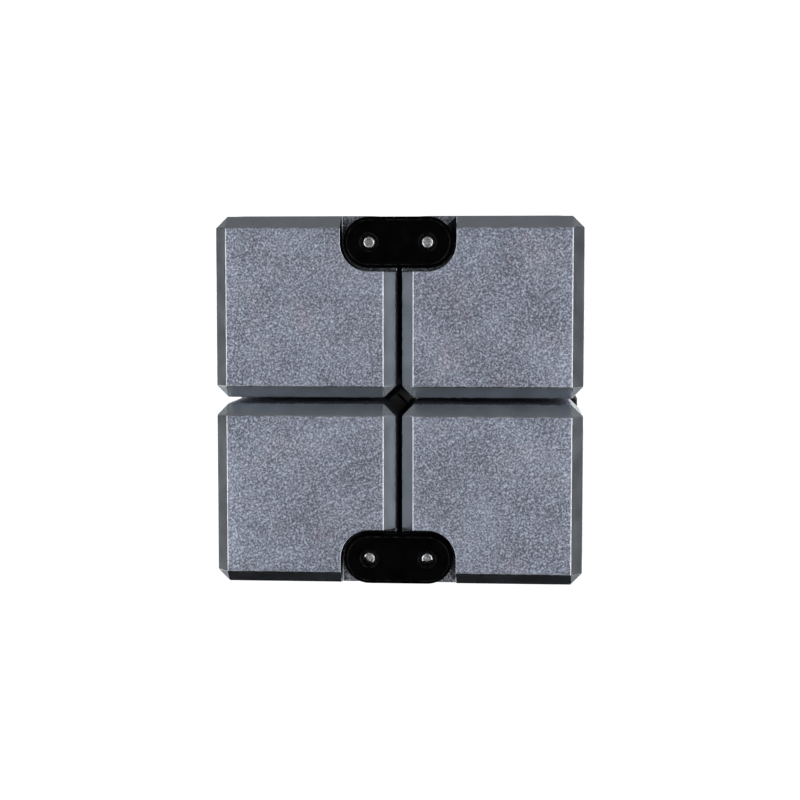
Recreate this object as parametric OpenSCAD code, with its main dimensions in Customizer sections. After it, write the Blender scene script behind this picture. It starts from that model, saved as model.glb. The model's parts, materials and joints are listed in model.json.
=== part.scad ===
// Folding cube: eight chamfered aluminium cubes in a closed ring of eight two-pin hinges.
// +X is right, +Y is back, +Z is up. The origin is at the middle of the face it stands on.

/* [Cubes] */
// Width, depth and height of the closed toy
overall = 40; // [36:1:60]
// Gap between neighbouring cubes when the toy is closed
gap = 0.5; // [0.5:0.05:0.8]
// Width of the 45 degree chamfer on the edges of each cube
chamfer = 1.35; // [1.3:0.05:1.8]

/* [Hinges] */
// Distance of a pin's axis from the two faces that it lies next to
pin_inset = 2.9; // [2.6:0.05:2.9]
// Diameter of the hinge pins
pin_d = 1.5; // [1:0.1:1.6]
// Running clearance between a pin and its bore, on the radius
pin_play = 0.05; // [0.02:0.01:0.1]
// Thickness of the link plates
plate_t = 2; // [1:0.1:2.5]
// How far a plate's rounded edge stays inside the faces of the cubes
plate_inset = 0.15; // [0.05:0.05:0.3]
// Gap around a plate in its pocket
pocket_clear = 0.35; // [0.2:0.05:0.5]

/* [Finish] */
// Depth of the plates below the faces of the cubes
plate_sink = 0.1; // [0:0.05:0.3]
// Chamfer on the visible edge of a plate
plate_edge = 0.35; // [0.1:0.05:0.6]
// Countersink around a pin's end, and the depth of the end in it
countersink = 0.2; // [0.1:0.05:0.3]
// Chamfer on the ends of the pins
pin_edge = 0.12; // [0.05:0.01:0.2]

/* [Hidden] */
$fn = 96;
eps = 0.1;
half = overall / 2;
cube_w = half - gap / 2;
pin_r = pin_d / 2;
bore_r = pin_r + pin_play;
plate_r = pin_inset - plate_inset;
pocket_r = plate_r + pocket_clear;
// Half the distance between the two pins of a hinge
reach = pin_inset + gap / 2;
// The plates run a little above the pocket floors
plate_play = 0.05;
pocket_depth = plate_sink + plate_t + plate_play;

// Each cube has a name and the octant that it fills
CUBES = [for (z = [1, -1], y = [1, -1], x = [-1, 1])
    [str(z > 0 ? "top" : "bottom", y > 0 ? "_back" : "_front", x > 0 ? "_right" : "_left"), [x, y, z]]];

// Each hinge has a name, the outer face that its pins lie under, the way that the pins run,
// and a name for each of its two pins. It joins the two cubes on either side of its seam.
HINGES = [
    ["top", [0, 0, 1], [0, -1, 0], ["left", "right"]],
    ["bottom", [0, 0, -1], [0, -1, 0], ["right", "left"]],
    ["right_upper", [1, 0, 0], [0, 0, 1], ["back", "front"]],
    ["right_lower", [1, 0, 0], [0, 0, -1], ["front", "back"]],
    ["left_upper", [-1, 0, 0], [0, 0, 1], ["front", "back"]],
    ["left_lower", [-1, 0, 0], [0, 0, -1], ["back", "front"]],
    ["back_right", [0, 1, 0], [1, 0, 0], ["upper", "lower"]],
    ["back_left", [0, 1, 0], [-1, 0, 0], ["lower", "upper"]],
];
// The two plates of a hinge, and the two sides of its seam
ENDS = ["outer", "inner"];
SIDES = [0, 1];

function cube_node(c) = str("cube_", c[0]);
function plate_node(h, end) = str("link_", h[0], "_", end);
function pin_node(h, side) = str("pin_", h[0], "_", h[3][side]);
function touches(c, h) = c[1] * h[1] == 1 && c[1] * h[2] == 1;

// Puts a child drawn with X across the seam, Y out of the face and Z along the pins at hinge h
module at_hinge(h) {
    face = h[1];
    run = h[2];
    across = cross(face, run);
    translate([0, 0, half])
        multmatrix([for (i = [0:2]) [across[i], face[i], run[i], 0]])
            children();
}

// Puts a child drawn with its visible face at z = 0 at the outer or the inner end of a hinge
module at_end(end, sink) {
    if (end == "outer")
        translate([0, half - pin_inset, half - sink]) children();
    else
        translate([0, half - pin_inset, gap / 2 + sink]) mirror([0, 0, 1]) children();
}

// A square with 45 degree corners, run through the cube
module edge_prism() {
    linear_extrude(height = cube_w, center = true)
        intersection() {
            square(cube_w, center = true);
            rotate(45) square(sqrt(2) * (cube_w - chamfer), center = true);
        }
}

// A cube with all its edges chamfered and a small triangle at each corner
module chamfered_cube() {
    corner = (1.5 * cube_w - 2 * chamfer) / sqrt(3);
    difference() {
        intersection() {
            edge_prism();
            rotate([90, 0, 0]) edge_prism();
            rotate([0, 90, 0]) edge_prism();
        }
        for (x = [-1, 1], y = [-1, 1], z = [-1, 1])
            rotate([0, acos(z / sqrt(3)), atan2(y, x)])
                translate([0, 0, corner + cube_w / 2]) cube(cube_w, center = true);
    }
}

// The pocket for a plate, open at the outer face, with rounded inner corners around the pins
module pocket() {
    translate([0, 0, -pocket_depth])
        linear_extrude(height = pocket_depth + eps)
            union() {
                for (side = [-1, 1])
                    translate([side * reach, 0]) circle(pocket_r);
                translate([-reach, -pocket_r]) square([2 * reach, pocket_r]);
                translate([-reach - pocket_r, 0])
                    square([2 * (reach + pocket_r), pin_inset + eps]);
            }
}

// Everything that a hinge cuts out of its two cubes
module hinge_cut() {
    for (end = ENDS)
        at_end(end, 0) pocket();
    for (side = [-1, 1])
        translate([side * reach, half - pin_inset, 0]) cylinder(h = half, r = bore_r);
}

// Half the section of a plate, from its middle line to its chamfered visible edge
module plate_section() {
    polygon([[0, -plate_t], [plate_r, -plate_t], [plate_r, -plate_edge], [plate_r - plate_edge, 0], [0, 0]]);
}

// A link plate with round ends, its visible face at z = 0 and a countersunk hole for each pin
module plate() {
    difference() {
        union() {
            for (side = [-1, 1])
                translate([side * reach, 0, 0]) rotate_extrude() plate_section();
            rotate([90, 0, 90])
                linear_extrude(height = 2 * reach, center = true)
                    union() {
                        plate_section();
                        mirror([1, 0]) plate_section();
                    }
        }
        for (side = [-1, 1])
            translate([side * reach, 0, 0]) {
                translate([0, 0, -plate_t - eps]) cylinder(h = plate_t + 2 * eps, r = pin_r);
                translate([0, 0, -countersink])
                    cylinder(h = 2 * countersink, r1 = pin_r, r2 = pin_r + 2 * countersink);
            }
    }
}

// A hinge pin with chamfered ends, from one plate's countersink to the other's
module pin() {
    low = gap / 2 + plate_sink + countersink;
    high = half - plate_sink - countersink;
    translate([0, 0, low]) cylinder(h = pin_edge, r1 = pin_r - pin_edge, r2 = pin_r);
    translate([0, 0, low + pin_edge]) cylinder(h = high - low - 2 * pin_edge, r = pin_r);
    translate([0, 0, high - pin_edge]) cylinder(h = pin_edge, r1 = pin_r, r2 = pin_r - pin_edge);
}

module cube_part(c) {
    color("slategray")
        difference() {
            translate([0, 0, half] + c[1] * (half - cube_w / 2)) chamfered_cube();
            for (h = HINGES)
                if (touches(c, h))
                    at_hinge(h) hinge_cut();
        }
}

module plate_part(h, end) {
    color("black") at_hinge(h) at_end(end, plate_sink) plate();
}

module pin_part(h, side) {
    color("silver")
        at_hinge(h)
            translate([(2 * side - 1) * reach, half - pin_inset, 0]) pin();
}

for (c = CUBES)
    cube_part(c);
for (h = HINGES, end = ENDS)
    plate_part(h, end);
for (h = HINGES, side = SIDES)
    pin_part(h, side);
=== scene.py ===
"""The folding cube's looks: blasted grey cubes, black link plates and bright pin ends.

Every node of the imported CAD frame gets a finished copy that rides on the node's own body.
"""

import json
import math

import bmesh
import bpy
from mathutils import Matrix, Vector


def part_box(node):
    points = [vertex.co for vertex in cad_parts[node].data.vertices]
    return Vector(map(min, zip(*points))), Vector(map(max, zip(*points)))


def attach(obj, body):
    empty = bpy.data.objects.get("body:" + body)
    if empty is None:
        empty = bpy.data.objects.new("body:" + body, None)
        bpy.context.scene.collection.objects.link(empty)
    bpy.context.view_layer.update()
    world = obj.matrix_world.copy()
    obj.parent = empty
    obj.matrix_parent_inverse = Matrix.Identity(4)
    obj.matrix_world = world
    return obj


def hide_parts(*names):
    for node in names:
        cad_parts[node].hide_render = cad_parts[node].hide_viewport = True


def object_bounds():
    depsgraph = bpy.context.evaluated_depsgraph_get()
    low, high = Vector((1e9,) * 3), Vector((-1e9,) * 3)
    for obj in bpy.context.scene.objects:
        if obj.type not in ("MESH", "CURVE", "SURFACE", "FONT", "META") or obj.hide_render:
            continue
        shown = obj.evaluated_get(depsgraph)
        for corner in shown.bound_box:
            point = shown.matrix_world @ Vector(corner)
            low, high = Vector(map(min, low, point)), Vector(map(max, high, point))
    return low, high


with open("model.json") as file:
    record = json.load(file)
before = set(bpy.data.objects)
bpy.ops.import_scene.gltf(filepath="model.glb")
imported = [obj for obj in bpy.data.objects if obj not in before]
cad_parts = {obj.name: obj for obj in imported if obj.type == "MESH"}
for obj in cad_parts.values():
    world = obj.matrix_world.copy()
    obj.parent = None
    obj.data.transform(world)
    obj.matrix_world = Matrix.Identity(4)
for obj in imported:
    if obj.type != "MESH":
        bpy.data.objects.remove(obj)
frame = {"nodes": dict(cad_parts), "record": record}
CAD_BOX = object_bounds()

MM = 0.001
LOW, HIGH = CAD_BOX
CENTRE = (LOW + HIGH) / 2
HALF = (HIGH.x - LOW.x) / 2

# Sizes of the cubes in the CAD
GAP = 0.5 * MM  # between neighbouring cubes
CUBE = HALF - GAP / 2  # width of one small cube
CHAMFER = 1.35 * MM
POCKET_DEPTH = 2.15 * MM  # of the pockets that the plates lie in

# Sizes of the finish on the real pieces
EDGE_BREAK = 0.07 * MM  # small round on every machined edge of a cube
PLATE_ROUND = 0.07 * MM  # round on the edges of a plate
SHARP = 20  # degrees: edges sharper than this are rounded
PILLOW_DEPTH = 0.09 * MM  # how far blasting has drawn a face in at its edges
PILLOW_WIDTH = 1.9 * MM  # how far in from the edge that starts
PILLOW_RINGS = 4  # rings of finer faces in that width
PIN_DISH = 0.14 * MM  # depth of the dish in a pin's end
PIN_SIDES = 48
PIN_SHARP = 30  # degrees: edges of a pin sharper than this are shaded sharp

# A pin's end from its centre out, as shares of its radius and of the dish's depth: pip, dish, ring, edge
PIN_END = ((0, -0.2), (0.09, -0.2), (0.16, -1), (0.36, -1), (0.50, 0), (0.70, 0), (0.77, -0.2), (1.0, -1.6))

# Pins whose front ends were cropped slanting, and the way that each slant faces, in degrees from
# straight down. A slant starts below the pin's middle by a share of its radius.
CROPPED = {"pin_bottom_left": -35, "pin_bottom_right": 8}
CROP_START = 0.15

# The kinds of face on a cube, which are also the places of their materials; the pocket floors and walls
# take darker copies of the blasted finish, as painted shade
FLAT, BROKEN_EDGE, CHAMFERED, POCKET_FLOOR, POCKET_WALL, CORNER_FACE = range(6)

# What tells those kinds apart
POCKET_FROM = 0.2 * MM  # a face whose middle is deeper than this belongs to a pocket
FLOOR_FROM = 0.9  # and to its floor, past this share of the pocket's depth
CORNER_SLANT = 0.5  # a corner's normal has more than this along every axis
SQUARE_ON = 0.9995  # a flat's normal has at least this along one axis

# Points and faces that are nearer to each other than this count as one
SAME_POINT = 0.5e-6  # metres, in a CAD mesh
ON_PLANE = 1e-7  # metres, at a cut and in a turned pin
SAME_FACE = 0.4  # degrees, in a CAD mesh

# Light in the studio
ROOM_AHEAD = 0.15  # how bright the room is straight ahead and straight behind
ROOM_SIDE = 0.05  # and to the sides
ROOM_ABOVE = 0.22  # how much is added overhead
ROOM_BELOW = 0.005  # the share that is left below
GROUND = 1.14  # how bright the white ground is that the camera sees
FLOOR_BODY = 0.05  # how much of the light on the floor its matt sheet stops
FLOOR_REACH = 3.0  # metres from the middle of the floor to its edges
LEFT_POWER = 0.82  # watts, for each strip light on the left
RIGHT_POWER = 0.94  # and on the right
LEFT_ANGLES = (30, 59)  # degrees around from straight ahead or straight behind
RIGHT_ANGLES = (25, 59)
STRIP_SIZE = (0.15, 0.60)  # metres wide and high
STRIP_AWAY = 0.50  # metres from the middle of the cube to a strip, as seen from above
STRIP_DROP = 0.06  # how far the middle of a strip is below the middle of the cube

# The camera's place
FACE_DISTANCE = 170 * MM  # from the plane of the front face
ASIDE = 12.2 * MM  # to the right of the point that it looks at, and as much above it
SHOWN_WIDTH = 85.6 * MM  # of the plane of the front face
LOOKS_RIGHT = 0.22 * MM  # from the middle of the front face to the point that it looks at
LOOKS_UP = 0.19 * MM


# ---------------------------------------------------------------- materials


class Nodes:
    """A small helper that adds nodes to one tree and links them."""

    def __init__(self, tree):
        self.tree = tree
        tree.nodes.clear()

    def add(self, kind, **values):
        node = self.tree.nodes.new(kind)
        for key, value in values.items():
            setattr(node, key, value)
        return node

    def link(self, a, b):
        self.tree.links.new(a, b)

    def maths(self, operation, a, b=0.0):
        """A sum, a product or the like of two values, each a number or a socket."""
        node = self.add("ShaderNodeMath", operation=operation)
        for socket, value in zip(node.inputs, (a, b)):
            if isinstance(value, (int, float)):
                socket.default_value = value
            else:
                self.link(value, socket)
        return node.outputs["Value"]

    def spread(self, value, low, high, to_low=0.0, to_high=1.0, kind="LINEAR"):
        """A value stretched from one range to another."""
        node = self.add("ShaderNodeMapRange", interpolation_type=kind)
        self.link(value, node.inputs["Value"])
        for key, number in (("From Min", low), ("From Max", high), ("To Min", to_low), ("To Max", to_high)):
            node.inputs[key].default_value = number
        return node.outputs["Result"]


class Surface(Nodes):
    """The nodes of one material, around its shader."""

    def __init__(self, name):
        self.material = bpy.data.materials.new(name)
        self.material.use_nodes = True
        super().__init__(self.material.node_tree)
        self.shader = self.add("ShaderNodeBsdfPrincipled")
        output = self.add("ShaderNodeOutputMaterial")
        self.link(self.shader.outputs["BSDF"], output.inputs["Surface"])
        self.place = self.add("ShaderNodeTexCoord").outputs["Object"]

    def noise(self, scale, detail=2.0, roughness=0.5, source=None):
        """Noise of a scale in features per metre."""
        node = self.add("ShaderNodeTexNoise")
        node.inputs["Scale"].default_value = scale
        node.inputs["Detail"].default_value = detail
        node.inputs["Roughness"].default_value = roughness
        self.link(source or self.place, node.inputs["Vector"])
        return node.outputs["Fac"]

    def blend(self, value, first, second):
        """A colour between two, by a value from 0 to 1."""
        node = self.add("ShaderNodeMix", data_type="RGBA")
        self.link(value, node.inputs["Factor"])
        node.inputs["A"].default_value = (*first, 1)
        node.inputs["B"].default_value = (*second, 1)
        return node.outputs["Result"]

    def turned(self):
        """The same place in axes that lie askew to the cube's, so that no noise lines up with a face."""
        node = self.add("ShaderNodeMapping")
        self.link(self.place, node.inputs["Vector"])
        node.inputs["Rotation"].default_value = (0.6, 0.45, 0.3)
        return node.outputs["Vector"]

    def shifted(self, by):
        """The same place, moved, so that a second noise differs from the first."""
        node = self.add("ShaderNodeVectorMath", operation="ADD")
        self.link(self.place, node.inputs[0])
        node.inputs[1].default_value = (by, by, by)
        return node.outputs["Vector"]

    def tinted(self, colour, value, tint):
        """A colour, multiplied by a tint where the value is 1."""
        node = self.add("ShaderNodeMix", data_type="RGBA", blend_type="MULTIPLY")
        self.link(value, node.inputs["Factor"])
        self.link(colour, node.inputs["A"])
        node.inputs["B"].default_value = (*tint, 1)
        return node.outputs["Result"]

    def bump(self, height, strength, distance):
        """Fine relief of a height, up to a distance."""
        node = self.add("ShaderNodeBump")
        node.inputs["Strength"].default_value = strength
        node.inputs["Distance"].default_value = distance
        self.link(height, node.inputs["Height"])
        self.link(node.outputs["Normal"], self.shader.inputs["Normal"])

    def set(self, **values):
        """Sets sockets of the shader that are the same all over."""
        for key, value in values.items():
            self.shader.inputs[key.replace("_", " ")].default_value = value

    def colour(self, output):
        self.link(output, self.shader.inputs["Base Color"])

    def mottled(self, value, low, high, first, second):
        """Colour that goes from one to another as a value goes from low to high."""
        self.colour(self.blend(self.spread(value, low, high), first, second))

    def roughness(self, value, low, high, first, second):
        """Roughness that goes from one to another as a value goes from low to high."""
        self.link(self.spread(value, low, high, first, second), self.shader.inputs["Roughness"])


def blasted_metal(name, dark, light):
    """Bead-blasted and anodised face: light flecks of about 0.2 mm over soft tinted clouds."""
    surface = Surface(name)
    fleck = surface.noise(5000, detail=1, roughness=0.6, source=surface.turned())
    cloud = surface.noise(190, detail=2)
    tint = surface.noise(240, detail=2, source=surface.shifted(3.1))
    raised = surface.maths("POWER", surface.spread(fleck, 0.25, 0.75), 1.8)
    level = surface.maths("ADD", raised, surface.spread(cloud, 0.3, 0.7, -0.09, 0.09))
    grain = surface.blend(level, dark, light)
    surface.colour(surface.tinted(grain, surface.spread(tint, 0.52, 0.72), (1.04, 0.97, 0.96)))
    surface.roughness(fleck, 0.35, 0.65, 0.58, 0.50)
    surface.bump(fleck, 0.30, 0.03 * MM)
    surface.set(Metallic=1.0)
    return surface.material


def milled_metal():
    """Chamfers: milled after blasting, smoother than the faces, with a fine cutter grain."""
    surface = Surface("anodised_milled")
    fine = surface.noise(5200, detail=2)
    cloud = surface.noise(420, detail=3)
    mixed = surface.maths(
        "ADD",
        surface.maths("MULTIPLY", fine, 0.4),
        surface.maths("MULTIPLY", cloud, 0.6),
    )
    surface.mottled(mixed, 0.35, 0.65, (0.37, 0.40, 0.44), (0.43, 0.465, 0.52))
    surface.roughness(cloud, 0.35, 0.65, 0.28, 0.33)
    surface.bump(fine, 0.12, 0.01 * MM)
    surface.set(Metallic=1.0)
    return surface.material


def matt_corner():
    """Small corner faces: tumbled, so duller and lighter in the shade than the milled chamfers."""
    surface = Surface("anodised_corner")
    fine = surface.noise(5200, detail=2)
    cloud = surface.noise(420, detail=3)
    surface.mottled(fine, 0.35, 0.65, (0.29, 0.32, 0.35), (0.37, 0.405, 0.44))
    surface.roughness(cloud, 0.35, 0.65, 0.46, 0.56)
    surface.bump(fine, 0.12, 0.01 * MM)
    surface.set(Metallic=0.65)
    return surface.material


def bright_edge():
    """Broken edges, where the anodising is thin and burnished."""
    surface = Surface("anodised_edge")
    wear = surface.noise(900, detail=3)
    surface.mottled(wear, 0.35, 0.65, (0.42, 0.45, 0.49), (0.60, 0.63, 0.66))
    surface.roughness(wear, 0.35, 0.65, 0.22, 0.32)
    surface.bump(wear, 0.08, 0.01 * MM)
    surface.set(Metallic=1.0)
    return surface.material


def black_plate():
    """Link plates: deep black coating with a very faint mottle and hardly any shine."""
    surface = Surface("link_black")
    fine = surface.noise(3800, detail=2)
    cloud = surface.noise(500, detail=3)
    surface.mottled(cloud, 0.35, 0.65, (0.0003, 0.0003, 0.0004), (0.0012, 0.0012, 0.0014))
    surface.roughness(cloud, 0.35, 0.65, 0.34, 0.46)
    surface.bump(fine, 0.10, 0.01 * MM)
    surface.set(Specular_IOR_Level=0.015)
    return surface.material


def plate_edge():
    """Edges of the plates, where the coating is rubbed thin in places and shines a little."""
    surface = Surface("link_black_edge")
    rub = surface.noise(1500, detail=3)
    surface.mottled(rub, 0.45, 0.65, (0.0006, 0.0006, 0.0007), (0.012, 0.012, 0.013))
    surface.roughness(rub, 0.35, 0.65, 0.34, 0.50)
    surface.bump(rub, 0.15, 0.01 * MM)
    surface.set(Specular_IOR_Level=0.06)
    return surface.material


def turned_steel():
    """Pin ends: bright steel with fine turning marks and small dark pits."""
    surface = Surface("pin_steel")
    marks = surface.noise(9000, detail=2)
    pits = surface.noise(3400, detail=3, roughness=0.6)
    surface.mottled(pits, 0.36, 0.56, (0.26, 0.26, 0.27), (0.58, 0.59, 0.60))
    surface.roughness(marks, 0.35, 0.65, 0.24, 0.36)
    surface.bump(pits, 0.15, 0.03 * MM)
    surface.set(Metallic=1.0)
    return surface.material


def plain_floor():
    """Pale floor: a thin matt sheet over the white ground, so that shadows on it stay soft and light."""
    surface = Surface("floor_pale")
    tooth = surface.noise(180, detail=3)
    surface.mottled(tooth, 0.3, 0.7, (0.88, 0.88, 0.88), (0.92, 0.92, 0.92))
    surface.roughness(tooth, 0.3, 0.7, 0.85, 0.92)
    surface.set(Alpha=FLOOR_BODY)
    return surface.material


# ---------------------------------------------------------------- pieces


def new_object(name, data):
    """An object around a mesh, a light or a camera, put in the scene."""
    thing = bpy.data.objects.new(name, data)
    bpy.context.scene.collection.objects.link(thing)
    return thing


def unit(axis):
    """The direction of an axis."""
    return Vector([1.0 if i == axis else 0.0 for i in range(3)])


def everything(work):
    """All that a cut can go through."""
    return work.verts[:] + work.edges[:] + work.faces[:]


def clean_copy(node):
    """The CAD node's mesh as an object of its own, with its flat faces whole again."""
    source = frame["nodes"][node]
    mesh = bpy.data.meshes.new(node + "_finished")
    work = bmesh.new()
    work.from_mesh(source.data)
    work.transform(source.matrix_world)
    bmesh.ops.remove_doubles(work, verts=work.verts, dist=SAME_POINT)
    flat = math.radians(SAME_FACE)
    bmesh.ops.dissolve_limit(work, angle_limit=flat, verts=work.verts, edges=work.edges)
    work.to_mesh(mesh)
    work.free()
    return new_object(node + "_finished", mesh)


def round_edges(piece, width):
    """Rounds every sharp edge, and bakes the result into the mesh."""
    bevel = piece.modifiers.new("round", "BEVEL")
    bevel.width = width
    bevel.segments = 2
    bevel.limit_method = "ANGLE"
    bevel.angle_limit = math.radians(SHARP)
    bevel.material = BROKEN_EDGE
    bevel.use_clamp_overlap = False
    bpy.context.view_layer.update()
    graph = bpy.context.evaluated_depsgraph_get()
    piece.data = bpy.data.meshes.new_from_object(piece.evaluated_get(graph))
    piece.modifiers.clear()


def shade(piece):
    """Smooth shading with true faces: the rounds take their end normals from the faces beside them."""
    mesh = piece.data
    faces = [Vector() for _ in mesh.vertices]
    rounds = [Vector() for _ in mesh.vertices]
    for polygon in mesh.polygons:
        polygon.use_smooth = True
        sums = rounds if polygon.material_index == BROKEN_EDGE else faces
        for corner in polygon.vertices:
            sums[corner] += polygon.normal * polygon.area
    normals = [(f if f.length > 1e-15 else r).normalized() for f, r in zip(faces, rounds)]
    mesh.normals_split_custom_set_from_vertices(normals)


def grid_near_edges(piece, centre):
    """Cuts rings of finer faces around each side of a cube, for the pillow to bend."""
    work = bmesh.new()
    work.from_mesh(piece.data)
    flat = CUBE / 2 - CHAMFER
    for axis in range(3):
        for side in (-1, 1):
            for ring in range(1, PILLOW_RINGS + 1):
                place = centre.copy()
                place[axis] += side * (flat - ring / PILLOW_RINGS * PILLOW_WIDTH)
                bmesh.ops.bisect_plane(
                    work,
                    geom=everything(work),
                    plane_co=place,
                    plane_no=unit(axis),
                    dist=ON_PLANE,
                )
    work.to_mesh(piece.data)
    work.free()


def pillow(piece, centre):
    """Draws each face of a cube in a little toward its edges."""
    flat = CUBE / 2 - CHAMFER

    def near_edge(distance):
        """0 well inside a face, rising to 1 at its edge."""
        return min(max((abs(distance) - flat + PILLOW_WIDTH) / PILLOW_WIDTH, 0.0), 1.0) ** 2

    for vertex in piece.data.vertices:
        offset = vertex.co - centre
        edge = [near_edge(value) for value in offset]
        for axis in range(3):
            depth = CUBE / 2 - abs(offset[axis])
            share = max(1.0 - depth / CHAMFER, 0.0)
            drawn = PILLOW_DEPTH * share * min(sum(edge) - edge[axis], 1.0)
            vertex.co[axis] -= math.copysign(drawn, offset[axis])


def in_pocket(point):
    """True for a point of a cube that lies below its faces and its chamfers."""
    reach = sorted(abs(value) for value in point)
    below_face = CUBE / 2 - reach[2]
    below_chamfer = (CUBE - CHAMFER - reach[2] - reach[1]) / math.sqrt(2)
    return min(below_face, below_chamfer) > POCKET_FROM


def face_kind(polygon, offset):
    """The kind of a cube's face, from its normal and from where its middle is in the cube."""
    slants = [abs(value) for value in polygon.normal]
    if min(slants) > CORNER_SLANT:
        return CORNER_FACE
    if in_pocket(offset):
        depth = CUBE / 2 - max(abs(value) for value in offset)
        return POCKET_FLOOR if depth > POCKET_DEPTH * FLOOR_FROM else POCKET_WALL
    if max(slants) < SQUARE_ON:
        return CHAMFERED
    return FLAT


def finish_cube(node, body):
    """One small cube: blasted flats, milled chamfers, pockets with painted shade (a darker floor and
    near-black walls) and bright broken edges.
    """
    piece = clean_copy(node)
    for material in (BLASTED, EDGE, MILLED, POCKET_FLOOR_PAINTED_SHADE, POCKET_WALL_PAINTED_SHADE, CORNER):
        piece.data.materials.append(material)
    up, back, right = [1 if word in ("top", "back", "right") else -1 for word in node.split("_")[1:]]
    centre = CENTRE + Vector((right, back, up)) * (HALF - CUBE / 2)
    for polygon in piece.data.polygons:
        polygon.material_index = face_kind(polygon, polygon.center - centre)
    grid_near_edges(piece, centre)
    round_edges(piece, EDGE_BREAK)
    pillow(piece, centre)
    shade(piece)
    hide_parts(node)
    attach(piece, body)


def finish_plate(node, body):
    """One link plate: deep black, with its edges rounded and rubbed."""
    piece = clean_copy(node)
    for material in (BLACK, BLACK_EDGE):
        piece.data.materials.append(material)
    round_edges(piece, PLATE_ROUND)
    shade(piece)
    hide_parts(node)
    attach(piece, body)


def turned_mesh(name, length, radius):
    """A pin that stands on end around the origin, with PIN_END turned on both of its ends."""
    outline = [(share * radius, length / 2 + drop * PIN_DISH) for share, drop in PIN_END]
    outline += [(away, -along) for away, along in reversed(outline)]
    work = bmesh.new()
    points = [work.verts.new((away, 0, along)) for away, along in outline]
    spokes = [work.edges.new(pair) for pair in zip(points, points[1:])]
    bmesh.ops.spin(
        work,
        geom=points + spokes,
        axis=(0, 0, 1),
        cent=(0, 0, 0),
        angle=math.tau,
        steps=PIN_SIDES,
        use_duplicate=False,
    )
    bmesh.ops.remove_doubles(work, verts=work.verts, dist=ON_PLANE)
    bmesh.ops.recalc_face_normals(work, faces=work.faces)
    mesh = bpy.data.meshes.new(name)
    work.to_mesh(mesh)
    work.free()
    return mesh


def crop_end(piece, low, radius, facing):
    """Cuts the front end of a pin off on a slant that starts near its middle and faces down."""
    down = Vector((math.sin(facing), 0, -math.cos(facing)))
    slant = (down + Vector((0, -1, 0))).normalized()
    start = Vector((low.x + radius, low.y, low.z + radius)) + down * radius * CROP_START
    work = bmesh.new()
    work.from_mesh(piece.data)
    cut = bmesh.ops.bisect_plane(
        work,
        geom=everything(work),
        plane_co=start,
        plane_no=slant,
        clear_outer=True,
        dist=ON_PLANE,
    )
    rim = [item for item in cut["geom_cut"] if isinstance(item, bmesh.types.BMEdge)]
    bmesh.ops.contextual_create(work, geom=rim)
    work.to_mesh(piece.data)
    work.free()


def finish_pin(node, body):
    """One pin, turned to its node's box, with a ring, a dish and a small pip in each end."""
    low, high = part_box(node)
    size = high - low
    run = max(range(3), key=lambda axis: size[axis])
    radius = min(size) / 2
    mesh = turned_mesh(node + "_finished", size[run], radius)
    turn = unit(run).to_track_quat("Z", "Y").to_matrix().to_4x4()
    mesh.transform(Matrix.Translation((low + high) / 2) @ turn)
    piece = new_object(node + "_finished", mesh)
    if node in CROPPED:
        crop_end(piece, low, radius, math.radians(CROPPED[node]))
    mesh.materials.append(STEEL)
    for polygon in mesh.polygons:
        polygon.use_smooth = True
    mesh.set_sharp_from_angle(angle=math.radians(PIN_SHARP))
    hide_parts(node)
    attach(piece, body)


def body_of(node):
    """The body that a node belongs to in the record."""
    for body, nodes in frame["record"]["behaviour"]["bodies"].items():
        if node in nodes:
            return body


# ---------------------------------------------------------------- build

BLASTED = blasted_metal("anodised_blasted", (0.125, 0.138, 0.171), (0.56, 0.612, 0.745))
# The pocket floor is a darker copy of the blasted finish: painted shade for the shadow that the pocket's
# walls cast
POCKET_FLOOR_PAINTED_SHADE = blasted_metal("anodised_pocket_floor_painted_shade", (0.05, 0.055, 0.065), (0.42, 0.45, 0.52))
# The pocket walls are a near-black copy of it: painted shade for the deep, narrow gap around the plates
POCKET_WALL_PAINTED_SHADE = blasted_metal("anodised_pocket_wall_painted_shade", (0.01, 0.01, 0.012), (0.05, 0.052, 0.058))
MILLED, CORNER, EDGE = milled_metal(), matt_corner(), bright_edge()
BLACK, BLACK_EDGE, STEEL = black_plate(), plate_edge(), turned_steel()

# The first word of a node's name says how it is finished
FINISH = {"cube": finish_cube, "link": finish_plate, "pin": finish_pin}
for node in sorted(frame["nodes"]):
    FINISH[node.split("_")[0]](node, body_of(node))


# ---------------------------------------------------------------- stage


def stand_floor():
    """A large square under the cube."""
    corners = [(x * FLOOR_REACH, y * FLOOR_REACH, 0) for x, y in ((-1, -1), (1, -1), (1, 1), (-1, 1))]
    mesh = bpy.data.meshes.new("floor")
    mesh.from_pydata(corners, [], [(0, 1, 2, 3)])
    mesh.materials.append(plain_floor())
    floor = new_object("floor", mesh)


def area_light(name, place, size, power):
    """A white rectangle of light that faces the cube."""
    light = bpy.data.lights.new(name, "AREA")
    light.shape = "RECTANGLE"
    light.size, light.size_y = size
    light.energy = power
    lamp = new_object(name, light)
    lamp.location = place
    lamp.rotation_mode = "QUATERNION"
    lamp.rotation_quaternion = (CENTRE - place).to_track_quat("-Z", "Y")


def light_strips():
    """Tall strip lights on both sides, ahead and behind."""
    for right in (-1, 1):
        side, power = ("right", RIGHT_POWER) if right > 0 else ("left", LEFT_POWER)
        for back in (-1, 1):
            for angle in RIGHT_ANGLES if right > 0 else LEFT_ANGLES:
                turn = math.radians(angle)
                away = Vector((right * math.sin(turn), back * math.cos(turn), 0)) * STRIP_AWAY
                name = f"strip_{side}_{'back' if back > 0 else 'front'}_{angle}"
                area_light(name, CENTRE + away - Vector((0, 0, STRIP_DROP)), STRIP_SIZE, power)


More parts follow.
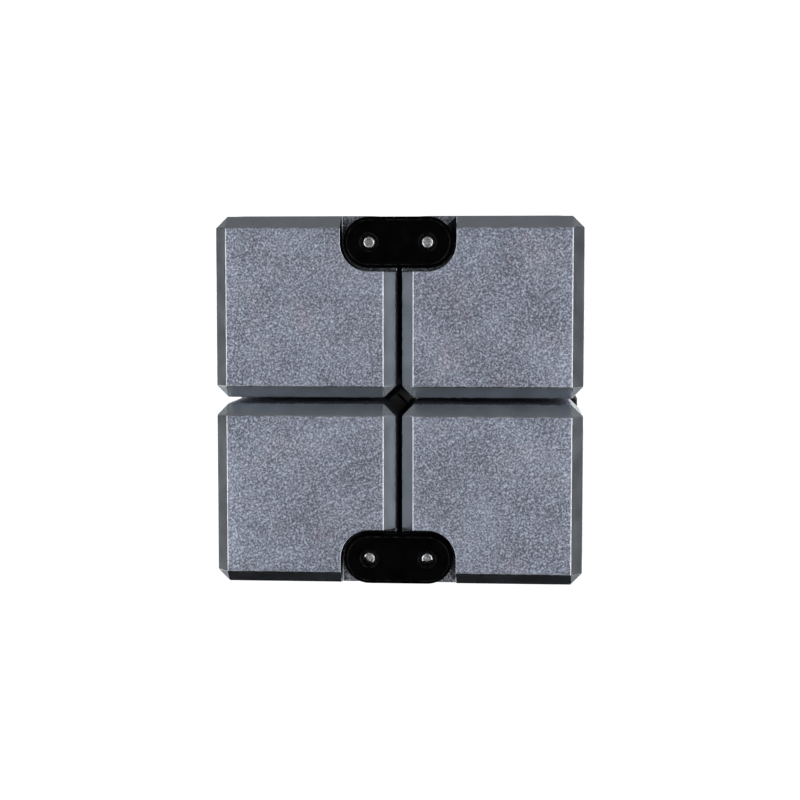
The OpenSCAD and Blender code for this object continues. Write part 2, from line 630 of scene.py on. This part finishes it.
def set_world():
    """A white ground behind everything, and a dimmer room for the metal to reflect.

    The room is lighter straight ahead, straight behind and above than to the sides, and dark below.
    """
    world = bpy.data.worlds.new("studio")
    world.use_nodes = True
    nodes = Nodes(world.node_tree)
    axes = nodes.add("ShaderNodeSeparateXYZ")
    nodes.link(nodes.add("ShaderNodeTexCoord").outputs["Generated"], axes.inputs["Vector"])
    along = nodes.maths("ABSOLUTE", axes.outputs["Y"])
    height = axes.outputs["Z"]
    around = nodes.spread(along, 0.45, 1.0, ROOM_SIDE, ROOM_AHEAD, "SMOOTHSTEP")
    above = nodes.spread(height, 0.3, 1.0, 0.0, ROOM_ABOVE, "SMOOTHSTEP")
    below = nodes.spread(height, -0.85, -0.45, ROOM_BELOW, 1.0, "SMOOTHSTEP")
    room = nodes.maths("MULTIPLY", nodes.maths("ADD", around, above), below)
    seen = nodes.add("ShaderNodeMix", data_type="FLOAT")
    nodes.link(nodes.add("ShaderNodeLightPath").outputs["Is Camera Ray"], seen.inputs["Factor"])
    nodes.link(room, seen.inputs["A"])
    seen.inputs["B"].default_value = GROUND
    background = nodes.add("ShaderNodeBackground")
    background.inputs["Color"].default_value = (1, 1, 1, 1)
    nodes.link(seen.outputs["Result"], background.inputs["Strength"])
    nodes.link(background.outputs["Background"], nodes.add("ShaderNodeOutputWorld").inputs["Surface"])
    bpy.context.scene.world = world


def set_camera():
    """Looks at the front face from a little right of and above its middle.

    That way the seams between the front cubes and the seams behind them close each other.
    """
    data = bpy.data.cameras.new("camera")
    data.sensor_width = 36
    data.lens = data.sensor_width * FACE_DISTANCE / SHOWN_WIDTH
    data.clip_start = 0.01
    camera = new_object("camera", data)
    front = Vector((CENTRE.x + LOOKS_RIGHT, LOW.y, CENTRE.z + LOOKS_UP))
    camera.location = front + Vector((ASIDE, -FACE_DISTANCE, ASIDE))
    camera.rotation_mode = "QUATERNION"
    camera.rotation_quaternion = (front - camera.location).to_track_quat("-Z", "Y")
    bpy.context.scene.camera = camera


stand_floor()
set_world()
light_strips()
set_camera()
bpy.context.scene.view_settings.view_transform = "Standard"
